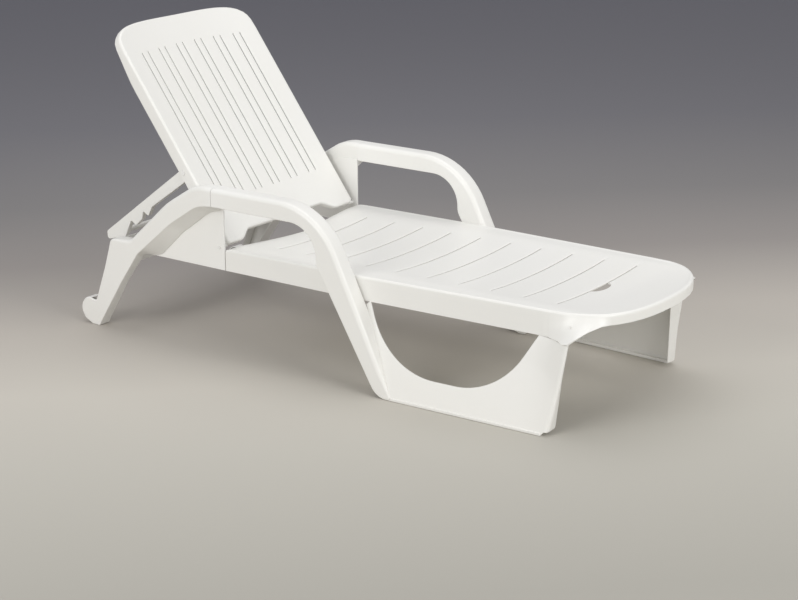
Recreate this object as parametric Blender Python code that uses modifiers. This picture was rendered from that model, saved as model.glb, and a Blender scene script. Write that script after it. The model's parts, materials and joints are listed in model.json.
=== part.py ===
"""Reclining sun lounger of moulded plastic, with sledge runners in front, arched rear legs and a
backrest held up by a notched prop.

Metres, +Z up, +X towards the foot end, +Y to the user's left. The origin lies on the ground in the
middle of the lounger's outer box.
"""

import math

import bmesh
import bpy
from mathutils import Matrix, Vector

# ---- driving dimensions --------------------------------------------------------------------------
WALL = 0.004            # moulded wall
GAP = 0.0003            # free space between neighbouring pieces
SEAM_X = -0.371         # where the front and the rear mouldings meet
ARM_HALF = 0.388        # half-width over the arms
HEEL_HALF = 0.371       # half-width over the rear feet
ARM_INNER = 0.3315      # inner plane of the arm channels
RAIL_HALF_REAR = 0.330  # half-width over the side rails at the seam
RAIL_HALF_FRONT = 0.303
RAIL_TAPER_FROM, RAIL_TAPER_TO = 0.114, 0.767
RAIL_BOTTOM_REAR, RAIL_BOTTOM_FRONT = 0.256, 0.262
RIM_REAR, RIM_FRONT = 0.323, 0.335
FOOT_X = 0.944          # foremost point of the foot end
FOOT_ROUND = 0.204      # length of the rounded foot end
SKIRT = 0.033           # height of the rim around the foot end
DECK_DISH = 0.014       # how far the middle of the seat lies below its sides
PANEL_SPLIT_X = 0.655   # behind the last drainage slot
SLOT_PITCH, SLOT_FIRST_X, SLOT_HALF = 0.1078, -0.255, 0.222
SLOT_WIDTH, SEAT_SLOTS = 0.003, 9     # one more slot lies in the foot panel
GRIP_HALF, GRIP_DEPTH = 0.066, 0.034   # crescent-shaped grab hole behind the last slot
BACK_ANGLE = math.radians(53.5)
HINGE = Vector((-0.392, 0.0, 0.325))
BACK_HALF = 0.307
BACK_LENGTH, BACK_CORNER, BACK_DISH, BACK_SKIRT = 0.760, 0.10, 0.022, 0.040
BACK_SLOT_PITCH, BACK_SLOT_PAIR = 0.0858, 0.0298
BACK_SLOT_LOW, BACK_SLOT_HIGH = 0.137, 0.663
PROP_PIVOT_S, PROP_PIVOT_N = 0.254, -0.006
PROP_INNER, PROP_OUTER = 0.281, 0.299
BEAM_X0, BEAM_X1, BEAM_Z0, BEAM_Z1 = -0.840, -0.770, 0.205, 0.262
RIDGE_WIDTH = 0.008
BEAM_RIDGE = 0.2714     # top of the ridge that the prop's notches hook over
WHEEL_CENTRE = Vector((-0.904, 0.0, 0.042))
WHEEL_R, WHEEL_WIDTH, AXLE_R, WHEEL_Y = 0.034, 0.020, 0.004, 0.3495
PIN_R, PROP_PIN_R, PIN_PLAY, EAR_R = 0.005, 0.004, 0.0005, 0.0155

UP = Vector((-math.cos(BACK_ANGLE), 0.0, math.sin(BACK_ANGLE)))      # up along the backrest
FACE = Vector((math.sin(BACK_ANGLE), 0.0, math.cos(BACK_ANGLE)))     # out of its face


# ---- scene and helpers ---------------------------------------------------------------------------
for old in list(bpy.data.objects):
    bpy.data.objects.remove(old, do_unlink=True)

lounger = bpy.data.collections.new("sun_lounger")
cutters = bpy.data.collections.new("cutters")
bpy.context.scene.collection.children.link(lounger)
bpy.context.scene.collection.children.link(cutters)


def plastic(name, colour, roughness, metallic=0.0):
    material = bpy.data.materials.new(name)
    material.use_nodes = True
    shader = material.node_tree.nodes["Principled BSDF"]
    shader.inputs["Base Color"].default_value = (*colour, 1.0)
    shader.inputs["Roughness"].default_value = roughness
    shader.inputs["Metallic"].default_value = metallic
    return material


def piece(name, mesh, material):
    obj = bpy.data.objects.new(name, mesh)
    lounger.objects.link(obj)
    mesh.materials.append(material)
    return obj


def cutter(name, mesh):
    obj = bpy.data.objects.new(name, mesh)
    cutters.objects.link(obj)
    obj.hide_render = True
    obj.display_type = "WIRE"
    return obj


def boolean(obj, other, operation="DIFFERENCE"):
    modifier = obj.modifiers.new(other.name, "BOOLEAN")
    modifier.operation = operation
    modifier.solver = "EXACT"
    modifier.object = other


def put_origin(obj, point):
    """Moves the object's origin to a joint's axis and leaves its shape where it is."""
    obj.data.transform(Matrix.Translation(-point))
    obj.location = point


def loft(name, rings):
    """A closed solid through rings of equally many points, capped at both ends."""
    mesh = bpy.data.meshes.new(name)
    work = bmesh.new()
    rows = [[work.verts.new(point) for point in ring] for ring in rings]
    count = len(rows[0])
    for low, high in zip(rows, rows[1:]):
        for i in range(count):
            j = (i + 1) % count
            work.faces.new((low[i], low[j], high[j], high[i]))
    work.faces.new(rows[0])
    work.faces.new(rows[-1])
    bmesh.ops.recalc_face_normals(work, faces=work.faces[:])
    work.to_mesh(mesh)
    work.free()
    return mesh


def slab(name, outline, y0, y1):
    """A flat piece across the lounger: its (x, z) outline as a filled 2D curve, made a mesh."""
    curve = bpy.data.curves.new(name, "CURVE")
    curve.dimensions = "2D"
    curve.fill_mode = "BOTH"
    curve.extrude = abs(y1 - y0) / 2
    spline = curve.splines.new("POLY")
    spline.points.add(len(outline) - 1)
    for point, (x, z) in zip(spline.points, outline):
        point.co = (x, z, 0.0, 1.0)
    spline.use_cyclic_u = True
    drawn = bpy.data.objects.new(name, curve)
    cutters.objects.link(drawn)
    mesh = bpy.data.meshes.new_from_object(drawn.evaluated_get(bpy.context.evaluated_depsgraph_get()))
    bpy.data.objects.remove(drawn)
    work = bmesh.new()
    work.from_mesh(mesh)
    bmesh.ops.remove_doubles(work, verts=work.verts[:], dist=1e-6)
    bmesh.ops.recalc_face_normals(work, faces=work.faces[:])
    work.to_mesh(mesh)
    work.free()
    mesh.name = name
    mesh.transform(Matrix.Translation((0, (y0 + y1) / 2, 0)) @ Matrix.Rotation(math.pi / 2, 4, "X"))
    return mesh


def box(name, low, high):
    mesh = bpy.data.meshes.new(name)
    work = bmesh.new()
    size = Vector(high) - Vector(low)
    place = Matrix.Translation((Vector(high) + Vector(low)) / 2) @ Matrix.Diagonal((*size, 1.0))
    bmesh.ops.create_cube(work, size=1.0, matrix=place)
    work.to_mesh(mesh)
    work.free()
    return mesh


def rod(name, radius, start, end, segments=20):
    """A cylinder from one point to another."""
    mesh = bpy.data.meshes.new(name)
    work = bmesh.new()
    start, end = Vector(start), Vector(end)
    turn = (end - start).to_track_quat("Z", "Y").to_matrix().to_4x4()
    bmesh.ops.create_cone(work, cap_ends=True, segments=segments, radius1=radius, radius2=radius,
                          depth=(end - start).length, matrix=Matrix.Translation((start + end) / 2) @ turn)
    work.to_mesh(mesh)
    work.free()
    return mesh


def across(name, radius, y0, y1, x, z, segments=20):
    """A cylinder that lies across the lounger."""
    return rod(name, radius, (x, y0, z), (x, y1, z), segments)


def turned(name, profile, axis_place, side, material, steps=24, bored=False):
    """A turned piece about an axis across the lounger.

    The profile is (radius, distance outwards from axis_place): it runs inwards on its outer side. A
    bored profile closes on itself, and one without a bore starts and ends on the axis.
    """
    points = [(r, 0.0, y) for r, y in profile]
    edges = [(i, i + 1) for i in range(len(points) - 1)]
    if bored:
        edges.append((len(points) - 1, 0))
    mesh = bpy.data.meshes.new(name)
    mesh.from_pydata(points, edges, [])
    obj = piece(name, mesh, material)
    obj.location = axis_place
    obj.rotation_euler.x = -side * math.pi / 2
    screw = obj.modifiers.new("turned", "SCREW")
    screw.axis = "Z"
    screw.steps = steps
    screw.render_steps = steps
    screw.use_merge_vertices = True
    screw.merge_threshold = 0.00001
    return obj


def inset(outline, wall):
    """The outline moved inwards by the wall, mitred at its corners."""
    area = sum(a[0] * b[1] - b[0] * a[1] for a, b in zip(outline, outline[1:] + outline[:1]))
    turn = 1 if area > 0 else -1
    moved = []
    for i, here in enumerate(outline):
        before, after = Vector(outline[i - 1]), Vector(outline[(i + 1) % len(outline)])
        here = Vector(here)
        a, b = (here - before).normalized(), (after - here).normalized()
        inward_a, inward_b = Vector((-a.y, a.x)) * turn, Vector((-b.y, b.x)) * turn
        mitre = (inward_a + inward_b).normalized()
        moved.append(tuple(here + mitre * wall / max(0.4, mitre.dot(inward_a))))
    return moved


def arc(centre, radius, start, end, steps):
    """Points on a circle from one angle to another, in degrees."""
    angles = [math.radians(start + (end - start) * i / steps) for i in range(steps + 1)]
    return [(centre[0] + radius * math.cos(a), centre[1] + radius * math.sin(a)) for a in angles]


def between(a, b, share):
    return a + (b - a) * share


def ramp(x, x0, x1, a, b):
    """From a to b as x goes from x0 to x1, level outside them."""
    return between(a, b, min(1.0, max(0.0, (x - x0) / (x1 - x0))))


def arm_half(x):
    """Outer half-width of the arms and rear legs."""
    return ramp(x, -0.944, SEAM_X, HEEL_HALF, ARM_HALF)


def rail_half(x):
    return ramp(x, RAIL_TAPER_FROM, RAIL_TAPER_TO, RAIL_HALF_REAR, RAIL_HALF_FRONT)


def rim_height(x):
    return ramp(x, SEAM_X, RAIL_TAPER_TO, RIM_REAR, RIM_FRONT)


def runner_half(x):
    """Outer half-width of the sledge runner on the ground: it toes in towards the foot end."""
    return ramp(x, 0.29, 0.764, ARM_HALF - 0.002, 0.367)


white = plastic("white_plastic", (0.86, 0.86, 0.83), 0.38)
wheel_white = plastic("wheel_plastic", (0.78, 0.78, 0.76), 0.45)
pin_white = plastic("pin_plastic", (0.84, 0.84, 0.82), 0.35)
steel = plastic("axle_steel", (0.62, 0.63, 0.65), 0.3, 1.0)


# ---- seat deck -----------------------------------------------------------------------------------
def deck_surface(x, y):
    sag = DECK_DISH * max(0.0, 1 - (abs(y) / 0.25) ** 2)
    return rim_height(x) - 0.001 - sag * ramp(x, 0.80, 0.92, 1.0, 0.15)


def deck_half(x):
    return rail_half(x) - 0.0148


def foot_front(y):
    """Foremost x of the rounded foot end at this distance from the middle."""
    return FOOT_X - FOOT_ROUND + FOOT_ROUND * (1 - (abs(y) / RAIL_HALF_FRONT) ** 2.4) ** (1 / 2.4)


def seat_rear(y):
    """The seat's rear edge is drawn forward in the middle."""
    return -0.342 - 0.027 * math.sin(math.pi / 2 * min(1.0, abs(y) / 0.22))


def sheet(name, columns, rows, point, fold=None):
    """A grid of points, with one boundary row folded down when fold is given, still without wall."""
    mesh = bpy.data.meshes.new(name)
    work = bmesh.new()
    grid = [[work.verts.new(point(i / rows, 2 * j / columns - 1)) for j in range(columns + 1)]
            for i in range(rows + 1)]
    if fold:
        grid.append([work.verts.new(fold(vertex.co)) for vertex in grid[-1]])
    for low, high in zip(grid, grid[1:]):
        for j in range(columns):
            work.faces.new((low[j], low[j + 1], high[j + 1], high[j]))
    bmesh.ops.recalc_face_normals(work, faces=work.faces[:])
    if sum(face.normal.z * face.calc_area() for face in work.faces) < 0:
        bmesh.ops.reverse_faces(work, faces=work.faces[:])
    work.to_mesh(mesh)
    work.free()
    return mesh


def thicken(obj, wall):
    modifier = obj.modifiers.new("wall", "SOLIDIFY")
    modifier.thickness = wall
    modifier.offset = -1.0
    modifier.use_even_offset = True
    modifier.use_quality_normals = True


def deck_slot(index):
    x = SLOT_FIRST_X + SLOT_PITCH * index
    low = (x - SLOT_WIDTH / 2, -SLOT_HALF, 0.28)
    high = (x + SLOT_WIDTH / 2, SLOT_HALF, 0.36)
    return cutter(f"deck_slot_{index + 1}", box(f"deck_slot_{index + 1}", low, high))


def build_deck():
    def seat_point(along, across):
        half = deck_half(between(SEAM_X, PANEL_SPLIT_X, along))
        y = across * half
        x = between(seat_rear(y), PANEL_SPLIT_X - GAP, along)
        y = across * deck_half(x)
        return (x, y, deck_surface(x, y))

    def foot_point(along, across):
        half = deck_half(PANEL_SPLIT_X)
        narrow = deck_half(RAIL_TAPER_TO)
        x = between(PANEL_SPLIT_X, foot_front(across * narrow), along)
        y = across * ramp(x, PANEL_SPLIT_X, RAIL_TAPER_TO, half, narrow)
        return (x, y, deck_surface(x, y))

    seat = piece("seat_deck", sheet("seat_deck", 14, 9, seat_point), white)
    thicken(seat, WALL)
    for index in range(SEAT_SLOTS):
        boolean(seat, deck_slot(index))
    foot = piece("foot_panel", sheet("foot_panel", 22, 5, foot_point,
                                     lambda p: (p.x, p.y, p.z - SKIRT)), white)
    thicken(foot, WALL)
    boolean(foot, deck_slot(SEAT_SLOTS))
    slot_x = SLOT_FIRST_X + SEAT_SLOTS * SLOT_PITCH
    turns = [math.radians(18 * t) for t in range(-4, 5)]
    bow = [(slot_x, -GRIP_HALF)]
    bow += [(slot_x + 0.004 + GRIP_DEPTH * math.cos(t), GRIP_HALF * math.sin(t)) for t in turns]
    bow += [(slot_x, GRIP_HALF)]
    grip = loft("grab_hole", [[(x, y, z) for x, y in bow] for z in (0.27, 0.36)])
    boolean(foot, cutter("grab_hole", grip))


def build_rail(side, name):
    """Side rail: an outer web with the rim turned inwards on top."""
    stations = [
        (SEAM_X, RAIL_BOTTOM_REAR),
        (RAIL_TAPER_FROM, 0.258),
        (0.450, 0.260),
        (RAIL_TAPER_TO, RAIL_BOTTOM_FRONT),
        (0.800, RAIL_BOTTOM_FRONT),
        (0.815, RAIL_BOTTOM_FRONT + 0.002),
    ]
    rings = []
    for x, low in stations:
        outer, top = rail_half(x), rim_height(x)
        section = [(outer, low), (outer, top), (outer - 0.0142, top), (outer - 0.0142, top - WALL),
                   (outer - WALL, top - WALL), (outer - WALL, low)]
        rings.append([(x, side * y, z) for y, z in section])
    piece(f"seat_rail_{name}", loft(f"seat_rail_{name}", rings), white)


# ---- arms, runners and front legs ----------------------------------------------------------------
ARM_OUTLINE = (
    [(SEAM_X + GAP, 0.5195), (-0.085, 0.5215), (-0.040, 0.5140), (-0.004, 0.4930), (0.036, 0.4620),
     (0.069, 0.4220), (0.101, 0.3620), (0.126, 0.3090), (0.148, 0.2640), (0.203, 0.1540), (0.250, 0.0580),
     (0.288, 0.0)]
    + [(0.262, 0.0), (0.236, 0.010), (0.212, 0.028), (0.193, 0.0580), (0.061, 0.2800), (0.0245, 0.3400),
       (0.0165, 0.3700), (0.0075, 0.4000), (-0.0155, 0.4330), (-0.0505, 0.4560), (-0.0935, 0.4650)]
    + [(SEAM_X + GAP, 0.4660)]
)


def channel(name, outer, inner, side, depth_of, inner_plane, open_edge=()):
    """A channel moulding: a closed outer web with its rim turned towards the middle.

    The rim is left open between the outline's points whose numbers are in open_edge.
    """
    def ring(outline, y_of):
        return [(x, side * y_of(x), z) for x, z in outline]

    body = piece(name, loft(name, [ring(outer, depth_of), ring(inner, lambda x: inner_plane)]), white)
    hollow_outer, hollow_inner = inset(outer, WALL), inset(inner, WALL)
    for index in open_edge:
        for outline in (hollow_outer, hollow_inner):
            outline[index] = (outline[index][0] - 0.006, outline[index][1] - 0.010)
    hollow = loft(f"{name}_hollow", [ring(hollow_outer, lambda x: depth_of(x) - WALL),
                                     ring(hollow_inner, lambda x: inner_plane - 0.010)])
    boolean(body, cutter(f"{name}_hollow", hollow))
    return body


def build_arm(side, name):
    return channel(f"arm_front_{name}", ARM_OUTLINE, ARM_OUTLINE, side, lambda x: ARM_HALF, ARM_INNER)


SLEDGE_TOP = RAIL_BOTTOM_REAR + 0.002 - GAP
SLEDGE_SECTIONS = [
    ((0.1535, SLEDGE_TOP), (0.168, SLEDGE_TOP)), ((0.1795, 0.205), (0.192, 0.205)),
    ((0.2050, 0.154), (0.231, 0.149)), ((0.2305, 0.103), (0.280, 0.108)), ((0.2522, 0.058), (0.330, 0.088)),
    ((0.2897, 0.0), (0.352, 0.084)), ((0.410, 0.0), (0.410, 0.079)), ((0.495, 0.0), (0.495, 0.081)),
    ((0.565, 0.0), (0.565, 0.092)), ((0.645, 0.0), (0.610, 0.118)), ((0.757, 0.0), (0.642, 0.154)),
    ((0.7795, 0.014), (0.645, 0.158)), ((0.7960, 0.115), (0.661, 0.180)), ((0.8060, 0.190), (0.680, 0.208)),
    ((0.814, SLEDGE_TOP + 0.003), (0.709, SLEDGE_TOP + 0.002)),
]


BEAD_PROUD, BEAD_HEIGHT, BEAD_WIDTH = 0.0006, 0.009, 0.018     # thickened foot of the runner
LEG_FLANGE = (0.0465, 0.050)    # width of the front leg's flange at the ground and at the rail


def sledge_half(x, z):
    """Outer half-width of the sledge side: it leans out from the rail to the runner."""
    return between(runner_half(x), rail_half(x), z / SLEDGE_TOP)


def build_sledge(side, name):
    """The D-shaped side below the rail: web, runner and front leg in one moulding."""
    rings = []
    for outer, inner in SLEDGE_SECTIONS:
        corners = ((outer, 0.0), (outer, WALL), (inner, WALL), (inner, 0.0))
        rings.append([(x, side * (sledge_half(x, z) - inward), z) for (x, z), inward in corners])
    sledge = piece(f"sledge_side_{name}", loft(f"sledge_side_{name}", rings), white)
    bead = []
    for x in (0.2945, 0.45, 0.60, 0.7565):
        outer = runner_half(x) + BEAD_PROUD
        inner = runner_half(x) - BEAD_WIDTH
        section = ((outer, 0.0), (outer, BEAD_HEIGHT), (inner, BEAD_HEIGHT), (inner, 0.0))
        bead.append([(x, side * y, z) for y, z in section])
    boolean(sledge, cutter(f"runner_bead_{name}", loft(f"runner_bead_{name}", bead)), "UNION")
    flange = []
    for z, outer_x, inner_x in ((0.0150, 0.779, 0.776), (0.060, 0.7865, 0.779), (0.150, 0.800, 0.785),
                                (SLEDGE_TOP + 0.001, 0.813, 0.792)):
        outer = sledge_half(outer_x, z) - 0.001
        inner = outer - ramp(z, 0.0, 0.25, *LEG_FLANGE)
        section = ((outer_x - WALL, outer), (outer_x + BEAD_PROUD, outer), (inner_x + BEAD_PROUD, inner),
                   (inner_x - WALL, inner))
        flange.append([(x, side * y, z) for x, y in section])
    boolean(sledge, cutter(f"leg_flange_{name}", loft(f"leg_flange_{name}", flange)), "UNION")


# ---- rear moulding -------------------------------------------------------------------------------
LOBE = arc((WHEEL_CENTRE.x, WHEEL_CENTRE.z), 0.040, 84, 208, 6)
REAR_TOP = [(SEAM_X - GAP, 0.5195), (-0.430, 0.5150), (-0.478, 0.4980), (-0.528, 0.4640), (-0.573, 0.4310),
            (-0.640, 0.3770), (-0.692, 0.3300), (-0.728, 0.3040), (-0.798, 0.2925), (-0.829, 0.2030),
            (-0.868, 0.0890)]
REAR_FOOT = [(-0.893, 0.0), (-0.862, 0.0)]
REAR_FRONT = [(-0.858, 0.013), (-0.812, 0.084), (-0.760, 0.160), (-0.710, 0.229), (-0.680, 0.265),
              (-0.650, 0.293), (-0.592, 0.340), (-0.540, 0.380), (-0.486, 0.418), (-0.436, 0.449),
              (SEAM_X - GAP, 0.464)]
REAR_FRONT_INNER = [(-0.860, 0.013), (-0.818, 0.084), (-0.767, 0.160), (-0.717, 0.231), (-0.686, 0.2625),
                    (-0.622, 0.268), (-0.574, 0.316), (-0.524, 0.354), (-0.470, 0.394), (-0.420, 0.430),
                    (SEAM_X - GAP, 0.447)]


def build_rear_leg(side, name):
    """Rear half of the arm, arched down into the rear leg with the wheel housing at its heel."""
    outer = REAR_TOP + LOBE + REAR_FOOT + REAR_FRONT
    inner = REAR_TOP + LOBE + REAR_FOOT + REAR_FRONT_INNER
    heel = len(REAR_TOP) + len(LOBE)
    return channel(f"rear_leg_{name}", outer, inner, side, arm_half, ARM_INNER, (heel - 1, heel))


PANEL_WALL = 0.0045
PANEL_OUTLINE = [(SEAM_X - GAP, RAIL_BOTTOM_REAR), (SEAM_X - GAP, 0.470), (-0.440, 0.468), (-0.512, 0.436),
                 (-0.580, 0.388), (-0.640, 0.336), (-0.690, 0.286), (-0.712, RAIL_BOTTOM_REAR)]


def build_panel(side, name):
    outer = side * (ARM_INNER - GAP)
    inner = outer - side * PANEL_WALL
    panel = piece(f"rear_side_panel_{name}",
                  slab(f"rear_side_panel_{name}", PANEL_OUTLINE, inner, outer), white)
    hole = across(f"panel_pin_hole_{name}", PIN_R + GAP, side * 0.31, side * 0.34, HINGE.x, HINGE.z)
    boolean(panel, cutter(f"panel_pin_hole_{name}", hole))


def build_beam():
    """Cross-beam between the rear legs, with the ridge that the prop's notches hook over."""
    half = ARM_INNER - GAP
    section = [(BEAM_X0, BEAM_Z0), (BEAM_X0, BEAM_RIDGE), (BEAM_X0 + RIDGE_WIDTH, BEAM_RIDGE),
               (BEAM_X0 + RIDGE_WIDTH, BEAM_Z1), (BEAM_X1, BEAM_Z1), (BEAM_X1, BEAM_Z0),
               (BEAM_X1 - WALL, BEAM_Z0), (BEAM_X1 - WALL, BEAM_Z1 - WALL),
               (BEAM_X0 + WALL, BEAM_Z1 - WALL), (BEAM_X0 + WALL, BEAM_Z0)]
    piece("rear_cross_beam", slab("rear_cross_beam", section, -half, half), white)


# ---- backrest ------------------------------------------------------------------------------------
def back_place(s, y, n):
    """World place from the distance up the backrest, across it and out of its face."""
    return HINGE + UP * s + FACE * n + Vector((0, y, 0))


def back_top(y):
    return BACK_LENGTH - BACK_CORNER + BACK_CORNER * max(0.0, 1 - (abs(y) / BACK_HALF) ** 3.5) ** (1 / 3.5)


def back_bottom(y):
    """The lower edge is cut out in a shallow arch between the hinge ears."""
    return ramp(abs(y), 0.215, 0.275, 0.034, 0.004)


def back_dish(y):
    return BACK_DISH * (abs(y) / BACK_HALF) ** 2.2


def build_backrest():
    columns, rows = 20, 8
    mesh = bpy.data.meshes.new("backrest")
    work = bmesh.new()
    grid = []
    for i in range(rows + 1):
        line = []
        for j in range(columns + 1):
            y = BACK_HALF * math.sin(math.pi / 2 * (2 * j / columns - 1))
            s = between(back_bottom(y), back_top(y), i / rows)
            line.append(work.verts.new(back_place(s, y, back_dish(y))))
        grid.append(line)
    for low, high in zip(grid, grid[1:]):
        for j in range(columns):
            work.faces.new((low[j], low[j + 1], high[j + 1], high[j]))
    rim = grid[0] + [row[-1] for row in grid[1:]] + grid[-1][-2::-1] + [row[0] for row in grid[-2:0:-1]]
    depths = [0.016 if 0 < i < columns else BACK_SKIRT for i in range(len(rim))]
    depths[0] = depths[columns] = BACK_SKIRT
    folded = [work.verts.new(vertex.co - FACE * depth) for vertex, depth in zip(rim, depths)]
    for i in range(len(rim)):
        j = (i + 1) % len(rim)
        work.faces.new((rim[j], rim[i], folded[i], folded[j]))
    bmesh.ops.recalc_face_normals(work, faces=work.faces[:])
    if sum(face.normal.dot(FACE) * face.calc_area() for face in work.faces) < 0:
        bmesh.ops.reverse_faces(work, faces=work.faces[:])
    work.to_mesh(mesh)
    work.free()
    back = piece("backrest", mesh, white)
    put_origin(back, HINGE)
    thicken(back, WALL)
    for side, name in SIDES:
        ear = across(f"hinge_ear_{name}", EAR_R, side * (BACK_HALF - 0.0045), side * (BACK_HALF - 0.0002),
                     HINGE.x, HINGE.z)
        boolean(back, cutter(f"hinge_ear_{name}", ear), "UNION")
        hole = across(f"hinge_hole_{name}", PIN_R + PIN_PLAY, side * 0.27, side * 0.32, HINGE.x, HINGE.z)
        boolean(back, cutter(f"hinge_hole_{name}", hole))
        pivot = back_place(PROP_PIVOT_S, 0, PROP_PIVOT_N)
        hole = across(f"prop_hole_{name}", PROP_PIN_R + PIN_PLAY, side * 0.295, side * 0.32,
                      pivot.x, pivot.z, 16)
        boolean(back, cutter(f"prop_hole_{name}", hole))
    for pair in range(6):
        for half in (-1, 1):
            y = (pair - 2.5) * BACK_SLOT_PITCH + half * BACK_SLOT_PAIR / 2
            low, high = BACK_SLOT_LOW, BACK_SLOT_HIGH - 0.25 * y * y
            y0, y1 = y - SLOT_WIDTH / 2, y + SLOT_WIDTH / 2
            rings = [[back_place(low, y0, n), back_place(low, y1, n), back_place(high, y1, n),
                      back_place(high, y0, n)] for n in (-0.03, 0.04)]
            number = 2 * pair + (half + 1) // 2 + 1
            boolean(back, cutter(f"back_slot_{number}", loft(f"back_slot_{number}", rings)))


def build_hinge_pin(side, name):
    """Pin through the hinge ear and the side panel, with a snap head inside the backrest."""
    profile = [(0.0, 0.3345), (PIN_R, 0.3345), (PIN_R, 0.3018), (0.0058, 0.3018), (0.0058, 0.2995),
               (0.0, 0.2995)]
    turned(f"backrest_pin_{name}", profile, HINGE, side, pin_white, 20)


# ---- prop ----------------------------------------------------------------------------------------
PROP_OUTLINE = [
    (-0.884, 0.270), (-0.885, 0.284), (-0.876, 0.294), (-0.576, 0.522), (-0.552, 0.540), (-0.536, 0.537),
    (-0.531, 0.522), (-0.538, 0.507), (-0.556, 0.491), (-0.687, 0.398), (-0.707, 0.366), (-0.7265, 0.374),
    (-0.733, 0.352), (-0.760, 0.328), (-0.779, 0.336), (-0.807, 0.2845), (-0.872, 0.2632),
]
PROP_BARS = {"prop_bar_low": (0.0085, -0.8735, 0.2785), "prop_bar_high": (0.007, -0.580, 0.490)}


def build_prop():
    """Prop frame: two notched arms joined by a bar at the pivot end and one at the free end."""
    pivot = back_place(PROP_PIVOT_S, 0, PROP_PIVOT_N)
    prop = piece("prop_frame", slab("prop_frame", PROP_OUTLINE, PROP_INNER, PROP_OUTER), white)
    other = slab("prop_arm_right", PROP_OUTLINE, -PROP_OUTER, -PROP_INNER)
    for bar, (radius, x, z) in PROP_BARS.items():
        boolean(prop, cutter(bar, across(bar, radius, -0.290, 0.290, x, z)), "UNION")
    boolean(prop, cutter("prop_arm_right", other), "UNION")
    for side, name in SIDES:
        hole = across(f"prop_arm_hole_{name}", PROP_PIN_R + PIN_PLAY, side * 0.27, side * 0.31,
                      pivot.x, pivot.z, 16)
        boolean(prop, cutter(f"prop_arm_hole_{name}", hole))
        head = BACK_HALF + 0.0004
        profile = [(0.0, head + 0.0024), (0.007, head + 0.0024), (0.007, head), (PROP_PIN_R, head),
                   (PROP_PIN_R, 0.2795), (0.0, 0.2795)]
        turned(f"prop_pin_{name}", profile, pivot, side, pin_white, 16)
    put_origin(prop, pivot)


# ---- wheels, joints between the mouldings --------------------------------------------------------
def build_wheel(side, name):
    """Small wheel inside the heel of the rear leg, on a stub axle through the leg's outer web."""
    half, edge = WHEEL_WIDTH / 2, 0.002
    bore = AXLE_R + 0.0004
    profile = [(bore, half), (WHEEL_R - edge, half), (WHEEL_R, half - edge), (WHEEL_R, edge - half),
               (WHEEL_R - edge, -half), (bore, -half)]
    centre = WHEEL_CENTRE + Vector((0, side * WHEEL_Y, 0))
    turned(f"wheel_{name}", profile, centre, side, wheel_white, 28, bored=True)
    outer = arm_half(WHEEL_CENTRE.x) - WALL - GAP - WHEEL_Y
    profile = [(0.0, outer), (AXLE_R, outer), (AXLE_R, -half - 0.0008), (0.007, -half - 0.0008),
               (0.007, -half - 0.0040), (0.0, -half - 0.0040)]
    turned(f"wheel_axle_{name}", profile, centre, side, steel, 20)


def build_joint_pieces(side, name):
    """Peg through both end walls of the arm, and a plate across the seam inside the rail."""
    y, z = side * 0.360, 0.4925
    peg = rod(f"arm_peg_{name}", 0.008, (SEAM_X - 0.025, y, z), (SEAM_X + 0.025, y, z))
    piece(f"arm_peg_{name}", peg, pin_white)
    hole = cutter(f"peg_hole_{name}", rod(f"peg_hole_{name}", 0.0084, (SEAM_X - 0.015, y, z),
                                          (SEAM_X + 0.015, y, z)))
    for target in (f"arm_front_{name}", f"rear_leg_{name}"):
        boolean(bpy.data.objects[target], hole)
    outer = RAIL_HALF_REAR - WALL - 2 * GAP
    low, high = sorted((side * outer, side * (outer - WALL)))
    plate = box(f"rail_joint_plate_{name}", (SEAM_X - 0.026, low, 0.266), (SEAM_X + 0.026, high, 0.306))
    piece(f"rail_joint_plate_{name}", plate, white)


SIDES = ((1, "left"), (-1, "right"))
build_deck()
for side, name in SIDES:
    build_rail(side, name)
    build_arm(side, name)
    build_sledge(side, name)
    build_rear_leg(side, name)
    build_panel(side, name)
    build_hinge_pin(side, name)
    build_wheel(side, name)
    build_joint_pieces(side, name)
build_beam()
build_backrest()
build_prop()
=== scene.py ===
"""A moulded sun lounger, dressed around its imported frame: every visible piece is built here in metres,
in the frame's own axes (+X towards the foot end, +Y to the left, +Z up)."""

import json
import math

import bmesh
import bpy
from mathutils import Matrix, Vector


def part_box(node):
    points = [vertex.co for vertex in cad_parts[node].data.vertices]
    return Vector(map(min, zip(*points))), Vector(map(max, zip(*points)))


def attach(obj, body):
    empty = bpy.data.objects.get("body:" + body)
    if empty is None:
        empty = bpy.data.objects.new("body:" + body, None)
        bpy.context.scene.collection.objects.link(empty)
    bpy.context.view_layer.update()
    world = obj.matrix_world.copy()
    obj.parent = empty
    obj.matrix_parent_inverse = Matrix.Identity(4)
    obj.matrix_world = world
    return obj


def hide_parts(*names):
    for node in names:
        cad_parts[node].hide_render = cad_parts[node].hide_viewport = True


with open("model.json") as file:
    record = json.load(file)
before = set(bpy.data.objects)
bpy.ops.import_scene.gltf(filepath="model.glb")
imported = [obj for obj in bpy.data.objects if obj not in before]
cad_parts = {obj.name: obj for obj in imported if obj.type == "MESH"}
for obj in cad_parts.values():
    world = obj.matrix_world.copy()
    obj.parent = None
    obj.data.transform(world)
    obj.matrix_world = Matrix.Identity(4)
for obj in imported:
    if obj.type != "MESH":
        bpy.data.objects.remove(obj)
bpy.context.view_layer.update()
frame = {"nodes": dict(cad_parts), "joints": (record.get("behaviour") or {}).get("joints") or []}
scene = bpy.context.scene


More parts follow.
